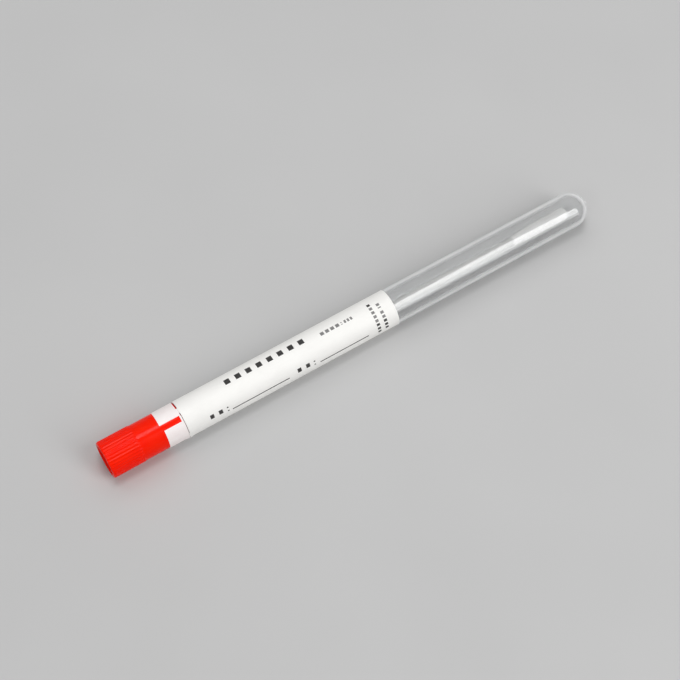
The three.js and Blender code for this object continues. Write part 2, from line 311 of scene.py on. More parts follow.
@dataclass
class Piece:
    """One finished object of the scene: its skin, its finishes, the body it rides on and what it replaces."""

    name: str
    skin: Skin
    finishes: Sequence["Finish"]
    body: str
    slot: str
    replaces: tuple[str, ...] = ()
    sharp_above: float = 38.0

    def place(self, placing: Placing) -> None:
        """Writes the mesh, dresses it and ties it to its body.

        Args:
            placing: Where the model lies.
        """
        mesh = bpy.data.meshes.new(self.name)
        mesh.from_pydata(placing.in_metres(self.skin.points).tolist(), [], self.skin.faces())
        for finish in self.finishes:
            mesh.materials.append(finish.material())
        mesh.polygons.foreach_set("material_index", self.skin.finish)
        mesh.polygons.foreach_set("use_smooth", np.ones(len(mesh.polygons), bool))
        mesh.set_sharp_from_angle(angle=math.radians(self.sharp_above))
        mesh.validate()
        mesh.update()
        made = add_object(self.name, mesh)
        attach(made, self.body)
        if self.replaces:
            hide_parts(*self.replaces)


# ---- Shader maths ------------------------------------------------------------------------------------------


class Term:
    """A shader value that arithmetic works on: each operator adds a Math node."""

    def __init__(self, graph: "Graph", socket: bpy.types.NodeSocket) -> None:
        """Wraps an output socket of the graph."""
        self.graph = graph
        self.socket = socket

    def math(self, operation: str, *others: "Term | float") -> "Term":
        """A Math node with this value first."""
        return self.graph.maths(operation, self, *others)

    def __add__(self, other: "Term | float") -> "Term":
        """self + other."""
        return self.math("ADD", other)

    def __radd__(self, other: float) -> "Term":
        """other + self."""
        return self.math("ADD", other)

    def __sub__(self, other: "Term | float") -> "Term":
        """self - other."""
        return self.math("SUBTRACT", other)

    def __rsub__(self, other: float) -> "Term":
        """other - self."""
        return self.graph.maths("SUBTRACT", other, self)

    def __mul__(self, other: "Term | float") -> "Term":
        """self · other."""
        return self.math("MULTIPLY", other)

    def __rmul__(self, other: float) -> "Term":
        """other · self."""
        return self.math("MULTIPLY", other)

    def over(self, span: Pair) -> "Term":
        """The value's share of the way along the span, held between 0 and 1."""
        looks = {"Value": self, "From Min": span[0], "From Max": span[1]}
        return self.graph.term("ShaderNodeMapRange", {"clamp": True}, looks, "Result")

    def within(self, span: Pair) -> "Term":
        """The point at the value's share of the span: start + (end - start) · value."""
        return span[0] + (span[1] - span[0]) * self


@dataclass(frozen=True)
class Noise:
    """A noise over the object: its scale, its stretch along each axis, its layers and their roughness."""

    scale: float
    stretch: Triple = (1.0, 1.0, 1.0)
    layers: float = 2.0
    rough: float = 0.5


class Graph:
    """The node tree of one finish or of the surround, with the shader it starts with."""

    def __init__(self, owner: bpy.types.Material | bpy.types.World) -> None:
        """Starts the nodes.

        Args:
            owner: The material or the world that they belong to.
        """
        owner.use_nodes = True
        self.tree = owner.node_tree
        self.output = next(node for node in self.tree.nodes if node.bl_idname.startswith("ShaderNodeOutput"))
        self.shader = self.output.inputs["Surface"].links[0].from_node

    def node(self, kind: str, settings: Mapping[str, object] | None = None,
             inputs: Mapping[object, object] | None = None) -> bpy.types.Node:
        """Adds any node.

        Args:
            kind: The node's type.
            settings: What is set on the node first, such as a Math node's operation.
            inputs: Values or links of its sockets, by name or place.

        Returns:
            The node.
        """
        made = self.tree.nodes.new(kind)
        for key, value in (settings or {}).items():
            setattr(made, key, value)
        for key, value in (inputs or {}).items():
            self.feed(made.inputs[key], value)
        return made

    def feed(self, socket: bpy.types.NodeSocket, value: object) -> None:
        """Links or sets a socket.

        Args:
            socket: The input socket.
            value: A term or an output socket to link, or a value to set.
        """
        if isinstance(value, Term):
            value = value.socket
        if isinstance(value, bpy.types.NodeSocket):
            self.tree.links.new(value, socket)
        else:
            socket.default_value = value

    def term(self, kind: str, settings: Mapping[str, object], inputs: Mapping[object, object],
             output: int | str = 0) -> Term:
        """An output of a new node as a term."""
        return Term(self, self.node(kind, settings, inputs).outputs[output])

    def wear(self, looks: Mapping[str, object]) -> None:
        """Links or sets sockets of the first shader, by name."""
        for name, value in looks.items():
            self.feed(self.shader.inputs[name], value)

    def maths(self, operation: str, *terms: "Term | float") -> Term:
        """A Math node of these terms."""
        return self.term("ShaderNodeMath", {"operation": operation}, dict(enumerate(terms)))

    def place(self, stretch: Triple = (1.0, 1.0, 1.0)) -> bpy.types.NodeSocket:
        """Object coordinates, stretched along each axis by a Mapping node."""
        where = self.node("ShaderNodeTexCoord").outputs["Object"]
        return self.node("ShaderNodeMapping", None, {"Vector": where, "Scale": stretch}).outputs["Vector"]

    def noise(self, kind: Noise) -> Term:
        """Adds a noise.

        Args:
            kind: What the noise is like.

        Returns:
            Its value, from 0 to 1 about 0.5.
        """
        return self.term("ShaderNodeTexNoise", {"noise_dimensions": "3D"}, {
            "Vector": self.place(kind.stretch),
            "Scale": kind.scale,
            "Detail": kind.layers,
            "Roughness": kind.rough,
        })

    def blend(self, share: "Term | float", first: object, second: object) -> bpy.types.NodeSocket:
        """A Mix node between two colours."""
        looks = {0: share, 6: first, 7: second}
        return self.node("ShaderNodeMix", {"data_type": "RGBA", "clamp_factor": True}, looks).outputs[2]

    def mix_shaders(self, share: Term, first: bpy.types.NodeSocket, second: bpy.types.NodeSocket) -> None:
        """Puts a Mix Shader node between two shaders on the output."""
        mixed = self.node("ShaderNodeMixShader", None, {0: share, 1: first, 2: second})
        self.feed(self.output.inputs["Surface"], mixed.outputs[0])

    def relief(self, height: Term, depth: float, strength: "Term | float" = 1.0) -> bpy.types.NodeSocket:
        """A Bump node's normal for a height in units of depth, in metres."""
        looks = {"Height": height, "Distance": depth, "Strength": strength}
        return self.node("ShaderNodeBump", None, looks).outputs["Normal"]


def shade(red: float, green: float, blue: float) -> Colour:
    """Turns a display colour into a linear one, by the standard display curve.

    Args:
        red: Red, 0 to 255.
        green: Green, likewise.
        blue: Blue, likewise.

    Returns:
        The linear colour, opaque.
    """
    display = np.array((red, green, blue)) / 255.0
    linear = np.where(display <= 0.04045, display / 12.92, ((display + 0.055) / 1.055) ** 2.4)
    return (*linear.tolist(), 1.0)


# ---- Finishes ----------------------------------------------------------------------------------------------


class Finish:
    """A finish that several pieces may share: its material is made once."""

    name = "finish"
    _made: dict[str, bpy.types.Material] = {}

    def material(self) -> bpy.types.Material:
        """Builds the material on the first call.

        Returns:
            The material of that name.
        """
        if self.name not in Finish._made:
            Finish._made[self.name] = bpy.data.materials.new(self.name)
            self.dress(Graph(Finish._made[self.name]))
        return Finish._made[self.name]

    def dress(self, graph: Graph) -> None:
        """Sets the shader's sockets and adds the nodes that vary them."""
        raise NotImplementedError


@dataclass(frozen=True)
class FrostedPlastic(Finish):
    """Milky polypropylene: a clear share and a white share, which grows where the wall is seen edge on."""

    name: str = "frosted_plastic"
    milk: Colour = shade(252, 252, 252)
    thin: Colour = shade(244, 245, 246)
    clear: Colour = shade(236, 237, 237)
    haze: Pair = (0.15, 0.21)
    rim_haze: float = 0.72
    rim: Pair = (0.3, 0.62)
    refraction: float = 1.4
    gloss: Pair = (0.17, 0.23)
    milk_gloss: float = 0.3
    clear_shine: float = 0.15
    shine: float = 0.5
    skin: float = 1.0
    skin_gloss: float = 0.04
    skin_index: float = 1.7
    streak: float = 0.1
    cloud: Noise = Noise(260.0, (0.35, 1.0, 1.0), 3.0)
    cloud_span: Pair = (0.35, 0.65)
    flow: Noise = Noise(1300.0, (0.02, 1.0, 1.0))
    flow_share: float = 0.85
    grain: Noise = Noise(2600.0)
    grain_depth: float = 0.003 * MM

    def dress(self, graph: Graph) -> None:
        """Clouds vary the milk, and the edge share is an S-curve of how far the wall turns from the eye.

        The white share is haze + streaks of the flow + S-curve · (rim haze - haze).

        Args:
            graph: The material's nodes.
        """
        cloud = graph.noise(self.cloud)
        flow = graph.noise(self.flow)
        grain = graph.noise(self.grain)
        edge = graph.term("ShaderNodeLayerWeight", {}, {"Blend": 0.5}, "Facing").over(self.rim)
        relief = graph.relief(flow * self.flow_share + grain * (1 - self.flow_share), self.grain_depth,
                              1.0 - edge)
        gloss = cloud.within(self.gloss)
        skin = {
            "Coat Weight": self.skin,
            "Coat Roughness": self.skin_gloss,
            "Coat IOR": self.skin_index,
            "Normal": relief,
        }
        graph.wear({
            "Transmission Weight": 1.0,
            "IOR": self.refraction,
            "Specular IOR Level": self.clear_shine,
            "Base Color": self.clear,
            "Roughness": gloss,
            **skin,
        })
        white = graph.node("ShaderNodeBsdfPrincipled", None, {
            "Base Color": graph.blend(cloud.over(self.cloud_span), self.thin, self.milk),
            "Roughness": gloss + (self.milk_gloss - self.gloss[0]),
            "Specular IOR Level": self.shine,
            **skin,
        })
        share = cloud.within(self.haze) + (flow - 0.5) * self.streak
        share = share + edge * edge * (3.0 - 2.0 * edge) * (self.rim_haze - self.haze[1])
        graph.mix_shaders(share, graph.shader.outputs[0], white.outputs[0])


@dataclass(frozen=True)
class RedPlastic(Finish):
    """Opaque red polyethylene with a soft satin."""

    name: str = "red_plastic"
    body: Colour = shade(255, 32, 0)
    deep: Colour = shade(251, 24, 0)
    gloss: Pair = (0.15, 0.24)
    cloud: Noise = Noise(420.0, (0.4, 1.0, 1.0), 3.0)
    cloud_span: Pair = (0.3, 0.7)
    grain: Noise = Noise(3600.0)
    grain_depth: float = 0.01 * MM
    shine: float = 0.09

    def dress(self, graph: Graph) -> None:
        """Clouds vary the red and the gloss, and fine grain roughens the skin.

        Args:
            graph: The material's nodes.
        """
        cloud = graph.noise(self.cloud)
        graph.wear({
            "Specular IOR Level": self.shine,
            "Base Color": graph.blend(cloud.over(self.cloud_span), self.deep, self.body),
            "Roughness": cloud.within(self.gloss),
            "Normal": graph.relief(graph.noise(self.grain), self.grain_depth),
        })


@dataclass(frozen=True)
class WhitePlastic(Finish):
    """The shaft's opaque white plastic, with faint draw lines along it."""

    name: str = "white_plastic"
    body: Colour = shade(214, 214, 211)
    shadow: Colour = shade(202, 202, 199)
    gloss: Pair = (0.36, 0.48)
    lines: Noise = Noise(2400.0, (0.03, 1.0, 1.0))
    line_span: Pair = (0.3, 0.7)
    line_depth: float = 0.01 * MM

    def dress(self, graph: Graph) -> None:
        """Noise drawn out along the shaft gives lines in colour, gloss and relief.

        Args:
            graph: The material's nodes.
        """
        lines = graph.noise(self.lines)
        graph.wear({
            "Base Color": graph.blend(lines.over(self.line_span), self.shadow, self.body),
            "Roughness": lines.within(self.gloss),
            "Normal": graph.relief(lines, self.line_depth),
        })


@dataclass(frozen=True)
class WoundFibre(Finish):
    """Wound rayon: white, dull, with fine threads that run round it at a low slant."""

    name: str = "white_fibre"
    body: Colour = shade(254, 253, 251)
    # painted shade: the darker white that the hollows between the threads take
    painted_hollow_shade: Colour = shade(248, 247, 244)
    dullness: float = 0.92
    thread_count: float = 9.0
    thread_pitch: float = 0.16 * MM
    thread_depth: float = 0.03 * MM
    thread_share: float = 0.6
    bend: float = 7.0
    bends: Noise = Noise(700.0)
    fuzz_share: float = 0.6
    fuzz: Noise = Noise(5200.0, (1.6, 0.5, 0.5), 3.0)
    hollow_shade_span: Pair = (0.1, 0.75)
    sheen: float = 0.6
    sheen_spread: float = 0.6
    axis_height: float = 0.0

    def dress(self, graph: Graph) -> None:
        """Threads are the sine of (count · angle + 2π · station / pitch), bent by noise. The low parts
        between threads and fuzz are painted a darker white, as shade in the hollows.

        Args:
            graph: The material's nodes.
        """
        parts = graph.node("ShaderNodeSeparateXYZ", None, {"Vector": graph.place()}).outputs
        angle = graph.maths("ARCTAN2", Term(graph, parts["Z"]) - self.axis_height, Term(graph, parts["Y"]))
        bend = graph.noise(self.bends) * self.bend
        along = Term(graph, parts["X"]) * (2 * math.pi / self.thread_pitch)
        threads = (angle * self.thread_count + along + bend).math("SINE") * 0.5 + 0.5
        height = threads * self.thread_share + graph.noise(self.fuzz) * self.fuzz_share
        graph.wear({
            "Sheen Weight": self.sheen,
            "Sheen Roughness": self.sheen_spread,
            "Roughness": self.dullness,
            # Base Color: painted shade, darker where the threads and fuzz lie low
            "Base Color": graph.blend(height.over(self.hollow_shade_span), self.painted_hollow_shade, self.body),
            "Normal": graph.relief(height, self.thread_depth),
        })


@dataclass(frozen=True)
class LabelPaper(Finish):
    """Coated white label paper with a faint fibre mottle."""

    name: str = "label_paper"
    body: Colour = shade(248, 247, 244)
    mottle: Colour = shade(244, 243, 240)
    gloss: Pair = (0.42, 0.56)
    mottles: Noise = Noise(300.0, (0.6, 1.0, 1.0), 3.0)
    mottle_share: float = 0.6
    fibres: Noise = Noise(1500.0, (0.45, 1.0, 1.0), 4.0, 0.6)
    fibre_depth: float = 0.006 * MM
    tone_span: Pair = (0.35, 0.6)

    def dress(self, graph: Graph) -> None:
        """Slow mottle and fine fibres vary the white, the gloss and the relief.

        Args:
            graph: The material's nodes.
        """
        fibre = graph.noise(self.fibres)
        tone = graph.noise(self.mottles) * self.mottle_share + fibre * (1 - self.mottle_share)
        graph.wear({
            "Base Color": graph.blend(tone.over(self.tone_span), self.mottle, self.body),
            "Roughness": fibre.within(self.gloss),
            "Normal": graph.relief(fibre, self.fibre_depth),
        })


@dataclass(frozen=True)
class LabelInk(Finish):
    """Ink on the label's paper: the paper's grain breaks it up a little."""

    name: str = "label_ink"
    body: Colour = shade(38, 36, 36)
    worn: Colour = shade(66, 64, 63)
    gloss: Pair = (0.4, 0.55)
    fibres: Noise = Noise(2600.0, (0.45, 1.0, 1.0), 4.0, 0.6)
    speck_span: Pair = (0.45, 0.7)

    def dress(self, graph: Graph) -> None:
        """Fibres of the paper show as slightly paler specks.

        Args:
            graph: The material's nodes.
        """
        fibre = graph.noise(self.fibres)
        graph.wear({
            "Base Color": graph.blend(fibre.over(self.speck_span), self.body, self.worn),
            "Roughness": fibre.within(self.gloss),
        })


@dataclass(frozen=True)
class StudioFloor(Finish):
    """A plain pale floor with a hardly visible unevenness."""

    name: str = "studio_floor"
    body: Colour = shade(196, 196, 196)
    faint: Colour = shade(193, 193, 193)
    dullness: float = 0.7
    shine: float = 0.2
    cloud: Noise = Noise(14.0)
    cloud_span: Pair = (0.3, 0.7)

    def dress(self, graph: Graph) -> None:
        """Slow noise moves the grey by a step or two.

        Args:
            graph: The material's nodes.
        """
        graph.wear({
            "Specular IOR Level": self.shine,
            "Roughness": self.dullness,
            "Base Color": graph.blend(graph.noise(self.cloud).over(self.cloud_span), self.faint, self.body),
        })


# ---- The tube ----------------------------------------------------------------------------------------------


@dataclass
class Tube:
    """The round-bottomed tube with its draft, lip and the stub of its injection gate."""

    mouth: float = 26.35
    length: float = 151.65
    mouth_radius: float = 6.055
    end_radius: float = 5.95
    wall: float = 0.9
    floor_wall: float = 1.0
    lip: float = 0.15
    stub_radius: float = 0.42
    stub_narrowing: float = 0.72
    stub_tip: float = 0.2
    stub_height: float = 0.75
    stub_foot: float = 0.03
    columns: int = 160
    wall_steps: int = 36
    dome_steps: int = 28
    lip_steps: int = 5

    @property
    def pole(self) -> float:
        """The station of the round end's outside."""
        return self.mouth + self.length

    @property
    def dome(self) -> float:
        """The station where the straight wall turns into the round end."""
        return self.pole - self.end_radius

    @property
    def floor(self) -> float:
        """The station of the round end's inside."""
        return self.pole - self.floor_wall

    def radius_at(self, station: np.ndarray | float) -> np.ndarray | float:
        """The outer radius of the straight wall: it falls evenly from the mouth to the dome."""
        share = (station - self.mouth) / (self.dome - self.mouth)
        return self.mouth_radius + (self.end_radius - self.mouth_radius) * share

    def bore_at(self, station: float) -> float:
        """The bore's radius."""
        return self.radius_at(station) - self.wall

    def profile(self) -> np.ndarray:
        """From the inside of the round end along the bore, round the lip, and back along the outside.

        Returns:
            Rows of (radius, station), from the axis to the axis.
        """
        bore_dome = self.end_radius - self.wall
        bore_mouth = self.bore_at(self.mouth)
        inside_lip = self.mouth + self.lip
        middle = self.mouth_radius - self.wall / 2
        foot = math.sqrt(self.end_radius**2 - self.stub_radius**2)
        foot_angle = math.degrees(math.atan2(foot, self.stub_radius))
        tip = self.stub_radius * self.stub_narrowing
        tip_start = self.pole + self.stub_height - self.stub_tip
        return profile_of(
            [(0.0, self.floor)],
            arc((0.0, self.dome), bore_dome, (90.0, 0.0), self.dome_steps, self.floor - self.dome)[1:],
            run((bore_dome, self.dome), (bore_mouth, inside_lip), self.wall_steps),
            arc((bore_mouth + self.lip, inside_lip), self.lip, (180.0, 270.0), self.lip_steps),
            run((middle, self.mouth), (self.mouth_radius - self.lip, self.mouth), 1),
            arc((self.mouth_radius - self.lip, inside_lip), self.lip, (270.0, 360.0), self.lip_steps),
            run((self.mouth_radius, inside_lip), (self.end_radius, self.dome), self.wall_steps),
            arc((0.0, self.dome), self.end_radius, (0.0, foot_angle), self.dome_steps),
            run((self.stub_radius, self.dome + foot), (tip, tip_start), 3),
            arc((0.0, tip_start), tip, (0.0, 90.0), 4, self.stub_tip)[1:-1],
            [(0.0, self.pole + self.stub_height)],
        )

    def piece(self, frosted: Finish, torn: Finish, bore: Finish) -> Piece:
        """The whole tube as one closed skin.

        Faces past the pole take the torn finish, and faces less than half a wall inside take the bore's.

        Args:
            frosted: The finish of the outside.
            torn: The finish of the gate's stub.
            bore: The finish of the inside.

        Returns:
            The tube.
        """
        skin = Skin.turned(self.profile(), self.columns)
        station = skin.points[:, 0]
        reach = np.sqrt(skin.points[:, 1]**2 + skin.points[:, 2]**2 + np.maximum(station - self.dome, 0.0)**2)
        finishes = [frosted, torn, bore]
        skin.finish[skin.highest(reach) < self.end_radius - self.wall / 2] = finishes.index(bore)
        skin.finish[-skin.highest(-station) > self.pole - self.stub_foot] = finishes.index(torn)
        return Piece("tube_frosted", skin, finishes, TUBE_BODY, "frosted_plastic", ("tube",))


# ---- The stopper -------------------------------------------------------------------------------------------


@dataclass
class Stopper:
    """The push-in stopper: the ribbed head, and the hollow plug with its sealing beads and swab socket."""

    tube: Tube
    head_length: float = 26.3
    head_radius: float = 6.0
    rim_width: float = 1.1
    rim_rounding: float = 0.2
    recess_depth: float = 1.8
    recess_rounding: float = 0.25
    web: float = 1.3
    plug_length: float = 8.0
    plug_clearance: float = 0.15
    plug_wall: float = 0.9
    lead_in: float = 0.7
    bead_width: float = 1.2
    bead_offset: float = 1.7
    bead_pitch: float = 2.9
    bead_clearance: float = 0.03
    bead_steps: int = 10
    boss_wall: float = 1.08
    boss_setback: float = 2.0
    socket_floor: float = 1.3
    socket_radius: float = 1.27
    socket_lead_in: float = 0.35
    rib_count: int = 36
    rib_height: float = 0.13
    rib_start: float = 0.12
    rib_end: float = 11.2
    rib_slope: float = 0.5
    rib_crest: float = 0.1
    rib_foot: float = 0.94
    rib_margin: float = 0.1
    columns_per_rib: int = 12
    corner: float = 0.12
    shoulder_round: float = 0.65

    def bead_profile(self, radius: float, plug_end: float) -> np.ndarray:
        """The plug's outside: beads on a straight wall, of height · (1 + cos 2πt) / 2, t from -0.5 to 0.5.

        Args:
            radius: The straight wall's radius.
            plug_end: The station of the plug's end.

        Returns:
            Rows of (radius, station).
        """
        height = self.tube.bore_at(self.head_length) - self.bead_clearance - radius
        beads = []
        middle = self.head_length + self.bead_offset
        wave = np.linspace(-0.5, 0.5, self.bead_steps + 1)
        while middle < plug_end - self.lead_in - self.bead_width / 2:
            swell = radius + height * 0.5 * (1 + np.cos(2 * math.pi * wave))
            beads.append(np.column_stack((swell, middle + wave * self.bead_width)))
            middle += self.bead_pitch
        return np.vstack(beads)

    def profile(self) -> np.ndarray:
        """From the middle of the end recess round the head and plug to the bottom of the swab's socket.

        Returns:
            Rows of (radius, station), from the axis to the axis.
        """
        plug_end = self.head_length + self.plug_length
        plug = self.tube.bore_at(plug_end) - self.plug_clearance
        cavity = plug - self.plug_wall
        inside = self.recess_depth + self.web
        socket_bottom = inside + self.socket_floor
        socket_mouth = (self.socket_radius, plug_end - self.boss_setback - self.socket_lead_in)
        boss = self.socket_radius + self.boss_wall
        boss_end = plug_end - self.boss_setback
        head, rim = self.head_radius, self.rim_rounding
        recess = head - self.rim_width
        rib_foot, rib_fade = self.rib_start + self.rib_slope, self.rib_end - self.rib_slope
        small, wide, shoulder = self.corner, 2 * self.corner, self.shoulder_round
        return profile_of(
            [(0.0, self.recess_depth)],
            run((0.0, self.recess_depth), (recess - small, self.recess_depth), 6),
            arc((recess - small, self.recess_depth - small), small, (90.0, 0.0), 4),
            arc((recess + self.recess_rounding, self.recess_rounding), self.recess_rounding,
                (180.0, 270.0), 5),
            arc((head - rim, rim), rim, (270.0, 360.0), 7),
            run((head, rim), (head, rib_foot), 6),
            run((head, rib_foot), (head, rib_fade), 9),
            run((head, rib_fade), (head, self.rib_end + self.rib_margin), 9),
            run((head, self.rib_end), (head, self.head_length - shoulder), 12),
            arc((head - shoulder, self.head_length - shoulder), shoulder, (0.0, 90.0), 6),
            [(plug + small, self.head_length)],
            arc((plug + small, self.head_length + small), small, (270.0, 180.0), 3),
            self.bead_profile(plug, plug_end),
            [(plug, plug_end - self.lead_in)],
            arc((plug - self.lead_in / 2, plug_end - self.lead_in), self.lead_in / 2, (0.0, 90.0), 5,
                self.lead_in),
            [(cavity + small, plug_end)],
            arc((cavity + small, plug_end - small), small, (90.0, 180.0), 3),
            run((cavity, plug_end - small), (cavity, inside + wide), 8),
            arc((cavity - wide, inside + wide), wide, (0.0, -90.0), 4),
            arc((boss + wide, inside + wide), wide, (270.0, 180.0), 4),
            run((boss, inside + wide), (boss, boss_end - small), 8),
            arc((boss - small, boss_end - small), small, (0.0, 90.0), 3),
            [(self.socket_radius + self.socket_lead_in, boss_end), socket_mouth],
            run(socket_mouth, (self.socket_radius, socket_bottom), 6),
            [(0.0, socket_bottom)],
        )

    def rib_lift(self, radius: np.ndarray, station: np.ndarray, angles: np.ndarray) -> np.ndarray:
        """How far the ribs stand out.

        The height is rib height · round S-curve of the distance from the rib's middle · S-curves of the
        distance from both rib ends, on the head's outside only.

        Args:
            radius: The profile's radii as a column.
            station: The profile's stations as a column.
            angles: The columns' angles.

        Returns:
            The lift of each point, as rows by columns.
        """
        pitch = FULL_TURN / self.rib_count
        offset = np.abs(angles % pitch - pitch / 2) / pitch
        across = smooth_step((self.rib_foot / 2 - offset) / (self.rib_foot / 2 - self.rib_crest / 2))
        into = smooth_step((station - self.rib_start) / self.rib_slope)
        out = smooth_step((self.rib_end - station) / self.rib_slope)
        outside = radius > self.head_radius - TOUCHING
        return self.rib_height * across[None, :] * into * out * outside

    def piece(self, red: Finish) -> Piece:
        """The whole stopper as one closed skin.

        Args:
            red: Its finish.

        Returns:
            The stopper.
        """
        profile = self.profile()
        radius, station = profile[:, :1], profile[:, 1:]
        angles = even_angles(self.rib_count * self.columns_per_rib)
        grid = rings(radius + self.rib_lift(radius, station, angles), station, angles)
        return Piece("stopper_ribbed", Skin.of_rings(grid), [red], SWAB_BODY, "red_plastic", ("stopper",))


# ---- The swab ----------------------------------------------------------------------------------------------


@dataclass
class Swab:
    """The plastic shaft in the stopper's socket, and the wound bud on its far end."""

    shaft_start: float = 4.5
    shaft_end: float = 169.4
    shaft_radius: float = 1.25
    end_rounding: float = 0.2
    shaft_columns: int = 32
    bud_start: float = 149.5
    bud_end: float = 171.0
    bud_radius: float = 2.1
    bud_lip: float = 1.5
    lip_run: float = 1.5
    taper: float = 17.0
    end_depth: float = 1.7
    bore_radius: float = 1.27
    bore_start: float = 149.6
    bore_end: float = 169.5
    wrap_lobes: int = 3
    wrap_pitch: float = 1.15
    wrap_depth: float = 0.14
    slow_pitch: float = 4.3
    slow_start: float = 1.3
    slowest_pitch: float = 7.7
    wrap_shares: Triple = (0.45, 0.3, 0.25)
    bud_steps: int = 200
    bud_crowding: float = 1.3
    bud_columns: int = 96
    bud_fold: float = 80.0
    strand_count: int = 170
    strand_radius: float = 0.035
    strand_steps: int = 9
    strand_sides: int = 3
    strand_inset: Pair = (0.6, 2.2)
    strand_margin: Pair = (0.3, 0.9)
    strand_slant: float = 1.6
    strand_sweep: Pair = (60.0, 150.0)
    strand_lift: Pair = (-0.01, 0.05)
    strand_sink: float = 0.07
    strand_fullness: float = 0.35
    seed: int = 7

    def shaft(self, white: Finish) -> Piece:
        """A straight rod with both ends rounded.

        Args:
            white: Its finish.

        Returns:
            The shaft.
        """
        flat = self.shaft_radius - self.end_rounding
        low, high = self.shaft_start + self.end_rounding, self.shaft_end - self.end_rounding
        profile = profile_of(
            [(0.0, self.shaft_start)],
            arc((flat, low), self.end_rounding, (270.0, 360.0), 4),
            run((self.shaft_radius, low), (self.shaft_radius, high), 40),
            arc((flat, high), self.end_rounding, (0.0, 90.0), 4),
            [(0.0, self.shaft_end)],
        )
        skin = Skin.turned(profile, self.shaft_columns)
        return Piece("swab_rod", skin, [white], SWAB_BODY, "white_plastic", ("swab_shaft",))

    def bud_radius_at(self, station: np.ndarray) -> np.ndarray:
        """The bud's mean radius: a quarter sine up the taper, level, then a blunt half oval.

        Args:
            station: Stations.

        Returns:
            The radius at each.
        """
        rise = np.sin(np.clip((station - self.bud_start) / self.taper, 0, 1) * math.pi / 2)
        body = self.bud_lip + (self.bud_radius - self.bud_lip) * rise
        into_dome = np.clip((station - (self.bud_end - self.end_depth)) / self.end_depth, 0, 1)
        return body * np.sqrt(np.clip(1 - into_dome**2, 0, 1))

    def wrap(self, station: np.ndarray, angles: np.ndarray) -> np.ndarray:
        """The lie of the wound layers: a sine along a helix and two slower ones across it.

        Args:
            station: Stations as a column.
            angles: The columns' angles.

        Returns:
            The lie of each point, from -1 to 0.
        """
        turn = np.radians(angles)[None, :]
        first = np.sin(self.wrap_lobes * turn + 2 * math.pi * station / self.wrap_pitch)
        second = np.sin(2 * turn - 2 * math.pi * station / (self.slow_pitch * self.wrap_pitch)
                        + self.slow_start)
        third = np.sin(turn + 2 * math.pi * station / (self.slowest_pitch * self.wrap_pitch))
        shares = self.wrap_shares
        return (shares[0] * first + shares[1] * second + shares[2] * third - 1) / 2

    def bud(self, fibre: Finish) -> Piece:
        """The wound bud as a closed skin, with the bore that the shaft fills.

        Ring t of 0 to 1 is at 1 - (1 - t) to the power of the crowding, so the rings lie closer together
        towards the round end. The wrap fades towards both ends.

        Args:
            fibre: Its finish.

        Returns:
            The bud.
        """
        share = 1 - np.linspace(1, 0, self.bud_steps + 1) ** self.bud_crowding
        station = (self.bud_start + (self.bud_end - self.bud_start) * share)[:, None]
        angles = even_angles(self.bud_columns)
        mean = self.bud_radius_at(station)
        fade = np.clip(mean / self.bud_radius, 0, 1) ** 2
        fade = fade * smooth_step((station - self.bud_start) / self.lip_run)
        outside = rings(mean + self.wrap_depth * self.wrap(station, angles) * fade, station, angles)
        bore = rings(
            np.array([[0.0], [self.bore_radius], [self.bore_radius]]),
            np.array([[self.bore_end], [self.bore_end], [self.bore_start]]),
            angles,
        )
        tip = rings(np.zeros((1, 1)), np.full((1, 1), self.bud_end), angles)
        skin = Skin.of_rings(np.vstack((bore, outside[:-1], tip)))
        return Piece("swab_tip", skin, [fibre], SWAB_BODY, "white_fibre", ("swab_bud",),
                     sharp_above=self.bud_fold)

    def strands(self, fibre: Finish) -> Piece:
        """Loose threads that cross the wound layers, each lying on the bud with both ends sunk in it.

        A thread's path is station + slant · t, angle + sweep · t, at the bud's radius + lift · sin(πt)
        - sink · (1 - sin(πt)), with t from 0 to 1. Its width is radius · sin(πt) to a power.

        Args:
            fibre: Their finish.

        Returns:
            All threads as one piece.
        """
        draw = np.random.default_rng(self.seed)
        size = (self.strand_count, 1)
        along = np.linspace(0, 1, self.strand_steps)
        arch = np.sin(math.pi * along)
        first = draw.uniform(self.bud_start + self.strand_inset[0], self.bud_end - self.strand_inset[1], size)
        slant = draw.uniform(-self.strand_slant, self.strand_slant, size)
        middle = draw.uniform(0, FULL_TURN, size)
        sweep = draw.uniform(*self.strand_sweep, size)
        lift = draw.uniform(*self.strand_lift, size)
        station = np.clip(first + slant * along, self.bud_start + self.strand_margin[0],
                          self.bud_end - self.strand_margin[1])
        angle = np.radians(middle + sweep * along)
        radius = self.bud_radius_at(station) + lift * arch - self.strand_sink * (1 - arch)
        up = np.stack((np.zeros_like(angle), np.cos(angle), np.sin(angle)), axis=2)
        paths = radius[:, :, None] * up
        paths[:, :, 0] = station
        forward = np.gradient(paths, axis=1)
        forward /= np.linalg.norm(forward, axis=2, keepdims=True)
        across = np.cross(up, forward)
        across /= np.linalg.norm(across, axis=2, keepdims=True)
        up = np.cross(forward, across)
        width = self.strand_radius * arch ** self.strand_fullness
        width[[0, -1]] = 0.0
        skin = Skin.of_strands(paths, across, up, width, self.strand_sides)
        return Piece("swab_threads", skin, [fibre], SWAB_BODY, "white_fibre", sharp_above=FULL_TURN / 2)


# ---- The label ---------------------------------------------------------------------------------------------


class Ink(Enum):
    """The tones of the print, by material index on the sleeve, where 0 is bare paper."""

    BLACK = 1
    GREY = 2


@dataclass(frozen=True)
class PrintRow:
    """A row of equal plain blocks, from the first block's stations and angles.

    The pitch is in millimetres along the label or, where the row is turned, in degrees round it.
    """

    ink: Ink
    stations: Pair
    angles: Pair
    count: int = 1
    pitch: float = 0.0
    turned: bool = False

    def blocks(self) -> list[tuple[float, float, float, float]]:
        """Steps the first block on.

        Returns:
            The blocks as (first station, last station, first angle, last angle).
        """
        (low, high), (left, right) = self.stations, self.angles
        shifts = [index * self.pitch for index in range(self.count)]
        if self.turned:
            return [(low, high, left + shift, right + shift) for shift in shifts]
        return [(low + shift, high + shift, left, right) for shift in shifts]


